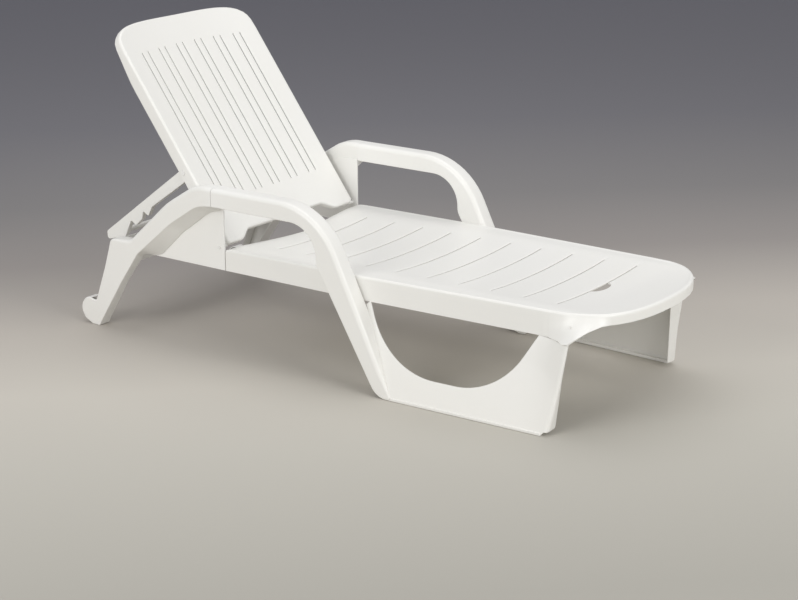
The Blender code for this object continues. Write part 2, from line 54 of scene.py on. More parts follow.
# ---- Studio: where the finished lounger is shown ---------------------------------------------------
# A seamless pale floor under a large overhead softbox, with a weaker panel on each side. The camera
# stands off the foot end's right corner, a little above eye level of a seated person.
camera = bpy.data.objects.new("camera", bpy.data.cameras.new("camera"))
scene.collection.objects.link(camera)
camera.data.sensor_width = 36.0
camera.data.lens = 85.77
camera.location = (3.2204, -4.4423, 1.8954)
camera.rotation_euler = (math.radians(90 - 17.67), 0.0, math.radians(35.69))
scene.camera = camera
scene.view_settings.view_transform = "Standard"


class Value:
    """A shader value: arithmetic on it adds the Math nodes."""

    def __init__(self, paint, socket):
        self.paint = paint
        self.socket = socket

    def maths(self, operation, first, second):
        return self.paint.node("ShaderNodeMath", {"operation": operation}, {0: first, 1: second})

    def __add__(self, other):
        return self.maths("ADD", self, other)

    def __sub__(self, other):
        return self.maths("SUBTRACT", self, other)

    def __rsub__(self, other):
        return self.maths("SUBTRACT", other, self)

    def __mul__(self, other):
        return self.maths("MULTIPLY", self, other)

    __radd__ = __add__
    __rmul__ = __mul__


class Paint:
    """A material under way: node() adds a node, and put() feeds the Principled shader's sockets."""

    def __init__(self, name):
        self.material = bpy.data.materials.new(name)
        self.material.use_nodes = True
        self.tree = self.material.node_tree
        self.shader = self.tree.nodes["Principled BSDF"]

    def node(self, kind, settings=None, sockets=None, out=0):
        added = self.tree.nodes.new(kind)
        for key, value in (settings or {}).items():
            if key == "ramp":
                while len(added.color_ramp.elements) < len(value):
                    added.color_ramp.elements.new(0.5)
                for stop, (place, colour) in zip(added.color_ramp.elements, value):
                    stop.position = place
                    stop.color = (*colour, 1.0)
            else:
                setattr(added, key, value)
        for key, value in (sockets or {}).items():
            self.feed(added.inputs[key], value)
        return Value(self, added.outputs[out])

    def feed(self, socket, value):
        if isinstance(value, Value):
            self.tree.links.new(value.socket, socket)
        else:
            socket.default_value = value

    def put(self, **values):
        for key, value in values.items():
            self.feed(self.shader.inputs[key.replace("_", " ")], value)

    def mix(self, share, first, second):
        return self.node("ShaderNodeMix", {"data_type": "RGBA"}, {0: share, 6: first, 7: second}, out=2)

    def share(self, value, start, end):
        """0 to 1 as the value goes from start to end."""
        return self.node("ShaderNodeMapRange", None, {"Value": value, "From Min": start, "From Max": end})

    def place(self):
        return self.node("ShaderNodeTexCoord", out=3)

    def noise(self, scale, detail=3.0, roughness=0.5):
        return self.node("ShaderNodeTexNoise", None,
                         {"Vector": self.place(), "Scale": scale, "Detail": detail, "Roughness": roughness})

    def streaks(self, scales, detail):
        """Noise drawn out along the axes whose scale is small."""
        stretched = self.node("ShaderNodeMapping", None, {"Vector": self.place(), "Scale": scales})
        return self.node("ShaderNodeTexNoise", None, {"Vector": stretched, "Scale": 1.0, "Detail": detail})

    def bump(self, height, strength, distance):
        return self.node("ShaderNodeBump", None,
                         {"Height": height, "Strength": strength, "Distance": distance})


def studio_floor():
    """The paper floor, with light and shade painted into its colour: a painted pool of pale, warm light under
    the lounger, and a painted falloff into a grey that deepens far behind it. Each tone is placed by its
    distance along the way back."""
    way_back = (-0.690, 0.723, 0.0)
    nearest, farthest = -2.0, 7.0
    # painted light and shade: the tones brighten to a warm pool round the lounger and darken to grey far
    # behind it
    painted_light_tones = [(-1.7, (0.39, 0.375, 0.335)), (-0.8, (0.50, 0.48, 0.43)), (-0.3, (0.56, 0.53, 0.475)),
             (0.3, (0.50, 0.465, 0.42)), (1.0, (0.325, 0.300, 0.285)), (1.8, (0.245, 0.235, 0.235)),
             (3.2, (0.200, 0.196, 0.215)), (6.8, (0.175, 0.173, 0.200))]
    paint = Paint("studio_floor")
    back = paint.node("ShaderNodeVectorMath", {"operation": "DOT_PRODUCT"},
                      {0: paint.place(), 1: way_back}, out=1)
    painted_light_stops = [((far - nearest) / (farthest - nearest), tone) for far, tone in painted_light_tones]
    # the ramp lays the painted light and shade over the floor
    colour = paint.node("ShaderNodeValToRGB", {"ramp": painted_light_stops}, {"Fac": paint.share(back, nearest, farthest)})
    paint.put(Base_Color=colour, Roughness=0.85)
    return paint.material


floor_mesh = bpy.data.meshes.new("floor")
work = bmesh.new()
bmesh.ops.create_circle(work, cap_ends=True, radius=26.0, segments=96)
work.to_mesh(floor_mesh)
work.free()
floor = bpy.data.objects.new("floor", floor_mesh)
scene.collection.objects.link(floor)
floor.location.z = -0.0004              # just clear of the runners, so that the two don't flicker
floor_mesh.materials.append(studio_floor())


def softbox(name, place, target, size, power, colour):
    lamp = bpy.data.lights.new(name, "AREA")
    lamp.shape = "RECTANGLE"
    lamp.size = size[0]
    lamp.size_y = size[1]
    lamp.energy = power
    lamp.color = colour
    holder = bpy.data.objects.new(name, lamp)
    scene.collection.objects.link(holder)
    holder.location = place
    holder.rotation_euler = (Vector(target) - Vector(place)).to_track_quat("-Z", "Y").to_euler()


softbox("overhead", (0.1, 0.6, 3.6), (0.0, 0.0, 0.3), (4.4, 3.2), 50.0, (1.0, 0.995, 0.98))
softbox("front", (-0.9, -5.4, 2.3), (0.0, 0.0, 0.3), (3.6, 2.4), 138.0, (1.0, 1.0, 0.99))
softbox("foot_side", (5.4, -0.8, 2.0), (0.3, 0.0, 0.3), (2.6, 2.0), 118.0, (1.0, 1.0, 0.985))
world = bpy.data.worlds.new("studio")
scene.world = world
world.use_nodes = True
world.node_tree.nodes["Background"].inputs["Color"].default_value = (0.80, 0.80, 0.82, 1.0)
world.node_tree.nodes["Background"].inputs["Strength"].default_value = 0.61


# ---- Seat shell: deck, side rails and rounded foot end ---------------------------------------------
# One white polypropylene moulding, 4 mm thick, gated in the middle of the deck. The deck is dished
# for the body and slotted to drain, and its rim rolls over into deep side rails and the foot skirt.
WALL = 0.004
rail_low, rail_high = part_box("seat_rail_left")
SEAM_X = rail_low.x                     # where the front and rear mouldings meet
RAIL_HALF = rail_high.y                 # half the width over the rails at the seam
FOOT_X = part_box("foot_panel")[1].x
ARM_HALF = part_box("arm_front_left")[1].y
FOOT_ROUND, FOOT_POWER = 0.204, 2.4     # length of the rounded foot end, and the power of its curve
TAPER_END = 0.767                       # the rails stop drawing in and rising here
SKIRT_SIDE = 0.8                        # the foot end is as wide as the rails are here
RIM_TURN = 0.0148                       # from the deck's border to the rail's outside
RIM_PROFILE = [(0.0035, 0.0012), (0.0075, 0.0015), (0.0105, 0.0009), (0.0128, -0.0007), (0.0142, -0.0030),
               (RIM_TURN, -0.0058)]     # outwards and upwards from the deck's border
LEG_FLARE = 0.012                       # how far the front legs stand outside the rails
SHOULDER_HALF = 0.351                   # half the width over the shoulders above them
SLOT_WIDTH, SLOT_HALF = 0.003, 0.222
SLOT_FIRST, SLOT_PITCH, SLOTS = -0.255, 0.1078, 10
SLOT_SHARE = 0.72                       # where the slots end on the way across the deck
SLOT_LIP = (0.0085, 0.0048, 0.0028)     # the lip bends at these distances from the slot's middle
GRIP_HALF, GRIP_DEPTH = 0.050, 0.026    # the grab hole in front of the last slot
EDGE = 0.0011                           # rounding of the moulding's edges


def between(a, b, share):
    return a + (b - a) * share


def ramp(x, x0, x1, a, b):
    """From a at x0 to b at x1 in a straight line, and level beyond."""
    return between(a, b, min(1.0, max(0.0, (x - x0) / (x1 - x0))))


def ease(x, x0, x1, a, b):
    """From a at x0 to b at x1 with a soft start and end."""
    share = min(1.0, max(0.0, (x - x0) / (x1 - x0)))
    return between(a, b, share * share * (3 - 2 * share))


def resin(name, colour, roughness, ground_tint=0.06):
    """Injection-moulded polypropylene: faint flow mottling, a fine spark-eroded grain that breaks up the
    gloss, hair scratches, duller and slightly lighter edges, and a touch of dust low down."""
    paint = Paint(name)
    flow = paint.noise(3.2, 4.0, 0.55)
    speck = paint.noise(95.0, 2.0)
    grain = paint.noise(950.0, 2.0, 0.6)
    scratch = paint.share(paint.streaks((9.0, 260.0, 140.0), 3.0), 0.66, 0.78)
    height = paint.node("ShaderNodeSeparateXYZ", None, {0: paint.place()}, out=2)
    low = paint.node("ShaderNodeMapRange", None, {"Value": height, "From Min": 0.0, "From Max": 0.16,
                                                  "To Min": ground_tint, "To Max": 0.0})
    pointiness = paint.node("ShaderNodeNewGeometry", out=7)
    worn = paint.share(pointiness, 0.53, 0.62)
    deep = (colour[0] * 0.955, colour[1] * 0.945, colour[2] * 0.915, 1.0)
    dust = (colour[0] * 0.80, colour[1] * 0.75, colour[2] * 0.66, 1.0)
    pale = (min(0.93, colour[0] * 1.05), min(0.93, colour[1] * 1.05), min(0.93, colour[2] * 1.06), 1.0)
    base = paint.mix(flow * 0.55 + speck * 0.12, (*colour, 1.0), deep)
    base = paint.mix(low * (0.55 + speck), base, dust)
    base = paint.mix(worn * 0.5, base, pale)
    paint.put(Base_Color=base, IOR=1.49,
              Roughness=roughness + (flow - 0.5) * 0.10 + (grain - 0.5) * 0.10 + worn * 0.08 + scratch * 0.07,
              Normal=paint.bump(grain * 0.6 + speck * 0.5 - scratch * 0.25, 0.16, 0.0006))
    return paint.material


white_resin = resin("white_resin", (0.83, 0.825, 0.80), 0.36)


def new_piece(name, work, material):
    """Turns a finished bmesh into an object with its material."""
    mesh = bpy.data.meshes.new(name)
    work.to_mesh(mesh)
    work.free()
    piece = bpy.data.objects.new(name, mesh)
    scene.collection.objects.link(piece)
    mesh.materials.append(material)
    return piece


def join(work, low, high, closed=False):
    """Faces between two rows of as many points; closed rows meet end to end."""
    for i in range(len(low) if closed else len(low) - 1):
        j = (i + 1) % len(low)
        work.faces.new((low[i], low[j], high[j], high[i]))


def solid(name, work, rings):
    """A closed body through rings of points, with a flat face on its first and its last ring."""
    work.faces.new(rings[0])
    work.faces.new(rings[-1])
    for low, high in zip(rings, rings[1:]):
        join(work, low, high, closed=True)
    bmesh.ops.recalc_face_normals(work, faces=work.faces[:])
    return new_piece(name, work, white_resin)


def skin(name, work, outside):
    """A sheet whose faces look outside on the whole, given the moulding's wall on their other side."""
    bmesh.ops.recalc_face_normals(work, faces=work.faces[:])
    if sum(face.normal.dot(outside) * face.calc_area() for face in work.faces) < 0:
        bmesh.ops.reverse_faces(work, faces=work.faces[:])
    piece = new_piece(name, work, white_resin)
    modifier = piece.modifiers.new("wall", "SOLIDIFY")
    modifier.thickness = WALL
    modifier.offset = -1.0
    modifier.use_even_offset = True
    modifier.use_quality_normals = True
    return piece


def soften(piece, width, segments=2):
    """Rounds the edges that turn by more than 50 degrees."""
    modifier = piece.modifiers.new("edges", "BEVEL")
    modifier.width = width
    modifier.segments = segments
    modifier.limit_method = "ANGLE"
    modifier.angle_limit = math.radians(50)
    modifier.use_clamp_overlap = True


def carve(piece, cutter, operation="DIFFERENCE"):
    modifier = piece.modifiers.new("cut", "BOOLEAN")
    modifier.operation = operation
    modifier.solver = "EXACT"
    modifier.object = cutter


def settle(piece, cutters=(), angle=38):
    """Applies the modifiers, removes the cutters, keeps the piece above the ground and shades it smooth
    between its real edges."""
    result = bpy.data.meshes.new_from_object(piece.evaluated_get(bpy.context.evaluated_depsgraph_get()))
    piece.modifiers.clear()
    piece.data = result
    result.name = piece.name
    for vertex in result.vertices:
        vertex.co.z = max(vertex.co.z, 0.0)
    result.shade_smooth()
    result.set_sharp_from_angle(angle=math.radians(angle))
    weigh = piece.modifiers.new("shading", "WEIGHTED_NORMAL")
    weigh.keep_sharp = True
    for cutter in cutters:
        bpy.data.objects.remove(cutter)


def fit(piece, body, slot, *nodes):
    """Hands a piece over: the body it rides on, and the frame's nodes it replaces. The material slot it is
    given is not used.
    """
    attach(piece, body)
    if nodes:
        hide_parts(*nodes)


def rail_half(x):
    return ramp(x, 0.114, TAPER_END, RAIL_HALF, RAIL_HALF - 0.027)


def skirt_flare(x, half):
    """How far the skirt's lower edge stands outside the rim: most at the shoulder over the front leg."""
    leg = ease(x, 0.70, 0.80, 0.0, LEG_FLARE) * ease(x, 0.84, 0.88, 1.0, 0.0)
    shoulder = ease(x, 0.755, 0.824, 0.0, 1.0) * ease(x, 0.830, 0.885, 1.0, 0.0)
    return between(leg, SHOULDER_HALF - half, shoulder)


def skirt_bottom(x):
    """Height of the rail's lower edge, which rises round the foot end."""
    return ease(x, 0.800, 0.866, rail_low.z + 0.004, rail_high.z - 0.033) - ramp(x, SEAM_X, 0.7, 0.004, 0.0)


def rim_height(x):
    return ramp(x, SEAM_X, TAPER_END, rail_high.z - 0.012, rail_high.z)


def seat_rear(y):
    """The rear edge of the seat is drawn forward in the middle."""
    return SEAM_X + 0.002 + 0.027 * (1 - math.sin(math.pi / 2 * min(1.0, abs(y) / 0.22)))


def foot_front(y, inward):
    """Foremost x of the rounded foot end at this distance from the middle."""
    half = rail_half(SKIRT_SIDE) - inward
    reach = FOOT_ROUND - inward
    return FOOT_X - FOOT_ROUND + reach * max(0.0, 1 - (abs(y) / half) ** FOOT_POWER) ** (1 / FOOT_POWER)


def deck_height(x, y):
    """The deck is dished between the rails, and flattens out at the foot end."""
    sag = 0.014 * max(0.0, 1 - (abs(y) / 0.262) ** 2.2) * ramp(x, 0.80, 0.93, 1.0, 0.1)
    return rim_height(x) - 0.0015 - sag


def deck_columns():
    """Shares of the way from the middle of the deck to its border, on both sides."""
    half = [0.0, 0.14, 0.28, 0.42, 0.54, 0.64, 0.705, SLOT_SHARE, 0.735, 0.79, 0.85, 0.90, 0.94, 0.97, 0.99,
            1.0]
    return [-share for share in half[:0:-1]] + half


def deck_y(share, half):
    """The place of a column across a deck of this half width. The slots' ends stay in one line."""
    size = abs(share)
    if size <= SLOT_SHARE:
        y = SLOT_HALF * size / SLOT_SHARE
    else:
        y = between(SLOT_HALF, half, (size - SLOT_SHARE) / (1 - SLOT_SHARE))
    return math.copysign(y, share)


def seat_rows():
    """Distances along the deck, with the lips and edges of each slot. True marks where a slot begins."""
    rows = [(-0.335, False), (-0.315, False), (-0.295, False), (-0.275, False)]
    for index in range(SLOTS):
        x = SLOT_FIRST + SLOT_PITCH * index
        rows += [(x - bend, False) for bend in SLOT_LIP]
        rows += [(x - SLOT_WIDTH / 2, True), (x + SLOT_WIDTH / 2, False)]
        rows += [(x + bend, False) for bend in reversed(SLOT_LIP)]
        if index < SLOTS - 1:
            rows += [(x + SLOT_PITCH * share, False) for share in (0.25, 0.5, 0.75)]
    return rows


def slot_lip(x, y):
    """The deck's edge turns down a little along each slot."""
    index = round((x - SLOT_FIRST) / SLOT_PITCH)
    away = abs(x - SLOT_FIRST - SLOT_PITCH * index)
    if index < 0 or index >= SLOTS or abs(y) > SLOT_HALF + 0.004:
        return 0.0
    return -0.0022 * max(0.0, 1 - away / SLOT_LIP[0]) ** 1.6


def deck_grid(work):
    """The deck's rows of points from the seam to the foot end, and a mark on each row of a slot."""
    columns = deck_columns()
    rows = seat_rows()
    grid = []
    for share in (0.0, 0.35, 0.7):
        line = []
        for column in columns:
            y = deck_y(column, rail_half(SEAM_X) - RIM_TURN)
            x = between(seat_rear(y), rows[0][0], share)
            line.append(work.verts.new((x, y, deck_height(x, y) - 0.004 * (1 - share) ** 2)))
        grid.append(line)
    slots = [False] * len(grid) + [marked for _, marked in rows]
    for x, _ in rows:
        line = []
        for column in columns:
            y = deck_y(column, rail_half(x) - RIM_TURN)
            line.append(work.verts.new((x, y, deck_height(x, y) + slot_lip(x, y))))
        grid.append(line)
    last = rows[-1][0]
    for share in (0.12, 0.25, 0.4, 0.55, 0.7, 0.82, 0.92, 1.0):
        line = []
        for column in columns:
            y = deck_y(column, rail_half(SKIRT_SIDE) - RIM_TURN)
            x = between(last, foot_front(y, RIM_TURN), share)
            y = deck_y(column, between(rail_half(last), rail_half(SKIRT_SIDE), share) - RIM_TURN)
            line.append(work.verts.new((x, y, deck_height(x, y))))
        grid.append(line)
        slots.append(False)
    return grid, slots


def build_seat_shell():
    work = bmesh.new()
    grid, slots = deck_grid(work)
    columns = deck_columns()
    for i in range(len(grid) - 1):
        for j in range(len(columns) - 1):
            inside = abs(columns[j] + columns[j + 1]) / 2 < SLOT_SHARE
            if not (slots[i] and inside):
                work.faces.new((grid[i][j], grid[i][j + 1], grid[i + 1][j + 1], grid[i + 1][j]))
    # the rolled rim, the rails and the skirt follow the border from rear left round the foot end
    border = [row[-1] for row in grid] + grid[-1][-2::-1] + [row[0] for row in grid[-2::-1]]
    count = len(border)
    outward = []
    for i, vertex in enumerate(border):
        before = border[max(0, i - 1)].co
        after = border[min(count - 1, i + 1)].co
        along = Vector((after.x - before.x, after.y - before.y))
        if i == 0 or i == count - 1 or abs(vertex.co.x) < FOOT_X - FOOT_ROUND - 0.002:
            along = Vector((1.0, 0.0)) if vertex.co.y > 0 else Vector((-1.0, 0.0))
        outward.append(Vector((-along.y, along.x, 0.0)).normalized())
    strip = [border]
    for offset, rise in RIM_PROFILE:
        line = []
        for vertex, way in zip(border, outward):
            x, y, _ = vertex.co + way * offset
            line.append(work.verts.new((x, y, vertex.co.z + rise)))
        strip.append(line)
    rim = strip[-1]
    bottoms = [skirt_bottom(vertex.co.x) for vertex in border]
    for share in (0.25, 0.5, 0.75, 1.0):
        line = []
        for vertex, bottom in zip(rim, bottoms):
            x, y, z = vertex.co
            flare = skirt_flare(x, abs(y)) * share ** 1.5
            line.append(work.verts.new((x, y + math.copysign(flare, y), between(z, bottom, share))))
        strip.append(line)
    for low, high in zip(strip, strip[1:]):
        join(work, low, high)
    shell = skin("seat_shell", work, Vector((0.0, 0.0, 1.0)))
    # the grab hole: a bow against the front edge of the last slot
    slot_x = SLOT_FIRST + SLOT_PITCH * (SLOTS - 1)
    turns = [math.radians(6 * t) for t in range(-13, 14)]
    bow = [(slot_x, -GRIP_HALF)]
    bow += [(slot_x + 0.002 + GRIP_DEPTH * math.cos(t), GRIP_HALF * math.sin(t)) for t in turns]
    bow += [(slot_x, GRIP_HALF)]
    work = bmesh.new()
    grip = solid("grip", work, [[work.verts.new((x, y, z)) for x, y in bow] for z in (0.27, 0.36)])
    carve(shell, grip)
    soften(shell, EDGE)
    settle(shell, [grip])
    fit(shell, "frame", "white_plastic", "seat_deck", "foot_panel", "seat_rail_left", "seat_rail_right")


build_seat_shell()


# ---- Arms: the front halves, each running down to the ground ---------------------------------------
# Part of the same front moulding: a hollow band, crowned on top where the forearm rests, that bends
# down past the seat rail and ends as the rear end of the runner. It is open below at its rear half.
SIDES = ((1, "left"), (-1, "right"))
ARM_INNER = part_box("arm_front_left")[0].y
SEAM_GAP = 0.0006                       # each moulding stops this far from the seam
FRONT_END = SEAM_X + SEAM_GAP
REAR_END = SEAM_X - SEAM_GAP


def rounded(corners, step=6):
    """A closed outline through corners whose first values are x, z and radius, its arcs stepped every
    few degrees. Returns the points and, for each, the number of its corner."""
    points, numbers = [], []
    count = len(corners)
    for i, corner in enumerate(corners):
        x, z, radius = corner[:3]
        here = Vector((x, z))
        back = (Vector(corners[i - 1][:2]) - here).normalized()
        ahead = (Vector(corners[(i + 1) % count][:2]) - here).normalized()
        half = math.acos(max(-1.0, min(1.0, back.dot(ahead)))) / 2
        if radius < 0.0005 or math.pi - 2 * half < math.radians(1):
            points.append((x, z))
            numbers.append(i)
            continue
        centre = here + (back + ahead).normalized() * (radius / math.sin(half))
        start = here + back * (radius / math.tan(half)) - centre
        turn = math.pi - 2 * half
        if back.x * ahead.y - back.y * ahead.x > 0:
            turn = -turn
        steps = max(2, round(abs(math.degrees(turn)) / step))
        for k in range(steps + 1):
            angle = turn * k / steps
            c, s = math.cos(angle), math.sin(angle)
            points.append((centre.x + start.x * c - start.y * s, centre.y + start.x * s + start.y * c))
            numbers.append(i)
    return points, numbers


def level(value):
    """A face that lies this far from the middle all over."""
    return lambda x, z: value


def slab(name, outline, side, inner, outer):
    """A closed plate in the XZ plane whose faces lie at inner(x, z) and outer(x, z) from the middle."""
    work = bmesh.new()
    rings = [[work.verts.new((x, side * half(x, z), z)) for x, z in outline] for half in (inner, outer)]
    return solid(name, work, rings)


def inward_steps(points, cut=None):
    """For each point of an outline, the step that moves both its sides inwards by one. The two ends of
    the flat joint face, which starts at the point numbered cut, slide along that face."""
    count = len(points)
    area = sum(points[i - 1][0] * points[i][1] - points[i][0] * points[i - 1][1] for i in range(count))
    sign = 1 if area > 0 else -1
    steps = []
    for i in range(count):
        here = Vector(points[i])
        a = (here - Vector(points[i - 1])).normalized()
        b = (Vector(points[(i + 1) % count]) - here).normalized()
        before, after = Vector((-a.y, a.x)) * sign, Vector((-b.y, b.x)) * sign
        if i == cut:
            steps.append(Vector((0.0, 1 / before.y)))
        elif cut is not None and i == (cut + 1) % count:
            steps.append(Vector((0.0, 1 / after.y)))
        else:
            steps.append((before + after) / max(0.35, 1 + before.dot(after)))
    return steps


def crowned(name, corners, side, inner, outer, cut=None, rings=5, step=6):
    """A closed body with rounded edges. A corner is (x, z, its radius, the edge's radius), and may end
    with the (dx, dz) by which the body's inner face is shifted there. The side from the corner numbered
    cut, which has no radius, to the next is a flat joint face."""
    points, numbers = rounded(corners, step)
    steps = inward_steps(points, None if cut is None else numbers.index(cut))
    radii = [corners[k][3] for k in numbers]
    shifts = [corners[k][4] if len(corners[k]) > 4 else (0.0, 0.0) for k in numbers]
    work = bmesh.new()
    loops = []
    for outside, turns in ((False, range(rings, -1, -1)), (True, range(rings + 1))):
        for k in turns:
            angle = math.pi / 2 * k / rings
            loop = []
            for (x, z), inwards, radius, shift in zip(points, steps, radii, shifts):
                px = x + inwards.x * radius * (1 - math.cos(angle))
                pz = z + inwards.y * radius * (1 - math.cos(angle))
                sunk = radius * (1 - math.sin(angle))
                if outside:
                    y = outer(px, pz) - sunk
                else:
                    px, pz = px + shift[0], pz + shift[1]
                    y = inner(px, pz) + sunk
                loop.append(work.verts.new((px, side * y, pz)))
            loops.append(loop)
    return solid(name, work, loops)


ARM_CORNERS = [(FRONT_END, 0.464, 0.0, 0.003), (FRONT_END, 0.5195, 0.0, 0.014),
               (0.0224, 0.5215, 0.23, 0.014), (0.240, 0.078, 0.0, 0.012), (0.2785, 0.0, 0.006, 0.004),
               (0.227, 0.0, 0.060, 0.003), (0.0165, 0.355, 0.05, 0.003), (0.0165, 0.4650, 0.093, 0.003)]
ARM_HOLLOW = [(SEAM_X + 0.0046, 0.450, 0.0), (SEAM_X + 0.0046, 0.5145, 0.0), (0.0180, 0.5165, 0.226),
              (0.2660, -0.02, 0.0), (0.2385, -0.02, 0.0), (0.0225, 0.357, 0.05), (0.0225, 0.4705, 0.094),
              (-0.080, 0.4705, 0.0), (-0.080, 0.450, 0.0)]


def build_arm(side, name):
    arm = crowned(f"arm_{name}", ARM_CORNERS, side, level(ARM_INNER - 0.003), level(ARM_HALF), cut=0)
    hollow = slab("hollow", rounded(ARM_HOLLOW)[0], side, level(ARM_INNER + 0.002), level(ARM_HALF - 0.005))
    carve(arm, hollow)
    settle(arm, [hollow])
    fit(arm, "frame", "white_plastic", f"arm_front_{name}")


for side, name in SIDES:
    build_arm(side, name)


# ---- Sledge sides: web, runner and front leg under each rail ---------------------------------------
# The lowest part of the front moulding: a 4 mm web with a large D-shaped opening, a thickened bead
# along the ground to slide on, and a flange turned in along the front leg to stiffen it.
SLEDGE_TOP = rail_low.z + 0.004
OPENING = [(0.166, SLEDGE_TOP, 0.0), (0.2507, 0.079, 0.247), (0.6084, 0.079, 0.2277),
           (0.7105, SLEDGE_TOP, 0.0)]
RUNNER_REAR, LEG_START = 0.352, 0.642   # places on the opening's edge that face the web's lower corners
BAND_EDGE = [(0.160, (0.1470, SLEDGE_TOP)), (0.192, (0.1750, 0.205)), (0.231, (0.2005, 0.154)),
             (0.280, (0.2260, 0.103)), (0.330, (0.2480, 0.058)), (RUNNER_REAR, (0.2700, 0.0)),
             (0.565, (0.565, 0.0)), (0.610, (0.645, 0.0)), (LEG_START, (0.757, 0.0)),
             (0.645, (0.7665, 0.013)), (0.661, (0.783, 0.115)), (0.680, (0.7970, 0.190)),
             (0.712, (0.8080, SLEDGE_TOP))]
LEG_BEND = 0.014                        # reach of the bend from the web to the flange
FLANGE_HEIGHT = 0.26                    # the flange's sizes go from the first at the ground to the second
FLANGE_CORNER_X = (0.7795, 0.822)
FLANGE_INNER_X, FLANGE_INNER_Y = (0.7760, 0.793), (0.3205, 0.292)
BEAD_WIDTH, BEAD_HEIGHT, BEAD_PROUD = 0.019, 0.009, 0.0012


def sledge_half(x, z):
    """The web leans out from the rail to the runner, toes in towards the foot end, and flares into the
    shoulder at the top of the front leg."""
    runner = ramp(x, 0.29, 0.764, ARM_HALF - 0.002, 0.367)
    shoulder = ease(x, 0.755, 0.808, 0.0, 0.019) * ease(z, 0.06, SLEDGE_TOP, 0.0, 1.0)
    flare = ease(x, 0.70, 0.80, 0.0, LEG_FLARE) + shoulder
    return between(runner, rail_half(x) + flare, z / SLEDGE_TOP)


def outer_of(x):
    """The point of the web's outer edge that faces this place on the opening's edge."""
    for (x0, first), (x1, second) in zip(BAND_EDGE, BAND_EDGE[1:]):
        if x <= x1:
            share = max(0.0, (x - x0) / (x1 - x0))
            return (between(first[0], second[0], share), between(first[1], second[1], share))
    return BAND_EDGE[-1][1]


def build_sledge(side, name):
    opening, _ = rounded(OPENING, step=3)
    for corner in (RUNNER_REAR, LEG_START):
        for i in range(len(opening) - 1):
            (x0, z0), (x1, z1) = opening[i], opening[i + 1]
            if x0 + 0.001 < corner < x1 - 0.001:
                opening.insert(i + 1, (corner, between(z0, z1, (corner - x0) / (x1 - x0))))
                break
    work = bmesh.new()
    columns = 7
    grid = []
    for x, z in opening:
        line = []
        for j in range(columns + 1):
            px = between(outer_of(x)[0], x, j / columns)
            pz = between(outer_of(x)[1], z, j / columns)
            line.append(work.verts.new((px, side * sledge_half(px, pz), pz)))
        grid.append(line)
    for low, high in zip(grid, grid[1:]):
        join(work, low, high)
    # the front leg bends round into a flange that leans forward and tapers to the ground
    front = [line[0] for line, (x, _) in zip(grid, opening) if x >= LEG_START - 0.0001]
    strip = [front]
    for turn in (0.25, 0.5, 0.75, 1.0, 1.5, 2.0):
        line = []
        for vertex in front:
            z = vertex.co.z
            start = Vector((vertex.co.x, abs(vertex.co.y)))
            corner = Vector((ramp(z, 0.0, FLANGE_HEIGHT, *FLANGE_CORNER_X), start.y))
            end = Vector((ramp(z, 0.0, FLANGE_HEIGHT, *FLANGE_INNER_X),
                          ramp(z, 0.0, FLANGE_HEIGHT, *FLANGE_INNER_Y)))
            bent = corner + (end - corner).normalized() * LEG_BEND
            if turn <= 1.0:
                place = start * (1 - turn) ** 2 + corner * 2 * turn * (1 - turn) + bent * turn ** 2
            else:
                place = bent.lerp(end, turn - 1.0)
            line.append(work.verts.new((place.x, side * place.y, max(z, 0.012))))
        strip.append(line)
    for low, high in zip(strip, strip[1:]):
        join(work, low, high)
    # the flat part of the flange runs on up behind the skirt
    top = [line[-1] for line in strip[5:]]
    for rise in (0.02, 0.043):
        upper = [work.verts.new((v.co.x + 0.15 * rise, v.co.y, SLEDGE_TOP + rise)) for v in top]
        join(work, top, upper)
        top = upper
    web = skin(f"sledge_{name}", work, Vector((0.0, side, 0.0)))
    soften(web, EDGE)
    settle(web)
    fit(web, "frame", "white_plastic", f"sledge_side_{name}")
    # the bead that the runner slides on
    work = bmesh.new()
    rings = []
    for i in range(13):
        x = between(0.276, 0.7565, i / 12)
        outer = sledge_half(x, 0.0) + BEAD_PROUD
        section = ((outer, 0.0), (outer, BEAD_HEIGHT), (outer - BEAD_WIDTH, BEAD_HEIGHT),
                   (outer - BEAD_WIDTH, 0.0))
        rings.append([work.verts.new((x, side * y, z)) for y, z in section])
    bead = solid(f"runner_bead_{name}", work, rings)
    soften(bead, 0.002, 3)
    settle(bead)
    fit(bead, "frame", "white_plastic")


for side, name in SIDES:
    build_sledge(side, name)


# ---- Rear legs: the arms' rear halves, arched down to the heels ------------------------------------
# The rear moulding begins at the seam: each arm drops in an arch to the ground, crowned like the
# front arm, hollow on its inner side, with a rounded heel that houses a small wheel.
HEEL_HALF = 0.371
LEG_CORNERS = [(REAR_END, 0.5195, 0.0, 0.014), (REAR_END, 0.464, 0.0, 0.003, (0.0, -0.017)),
               (-0.4300, 0.4560, 0.12, 0.003, (0.015, -0.022)),
               (-0.5400, 0.3840, 0.30, 0.003, (0.015, -0.028)),
               (-0.6500, 0.2930, 0.02, 0.003, (0.030, -0.026)),
               (-0.6850, 0.2640, 0.02, 0.003, (-0.004, -0.001)),
               (-0.7600, 0.1600, 0.20, 0.003, (-0.006, 0.0)), (-0.8570, 0.0130, 0.006, 0.002),
               (-0.8640, 0.0, 0.004, 0.002), (-0.8950, 0.0, 0.006, 0.002), (-0.9280, 0.0130, 0.02, 0.004),
               (-0.9480, 0.0500, 0.034, 0.004), (-0.9180, 0.0880, 0.030, 0.004),
               (-0.8750, 0.0800, 0.010, 0.004), (-0.8290, 0.2030, 0.15, 0.006),
               (-0.7990, 0.2950, 0.020, 0.006), (-0.7160, 0.3030, 0.040, 0.012),
               (-0.5600, 0.4440, 0.30, 0.014), (-0.4360, 0.5205, 0.13, 0.014)]
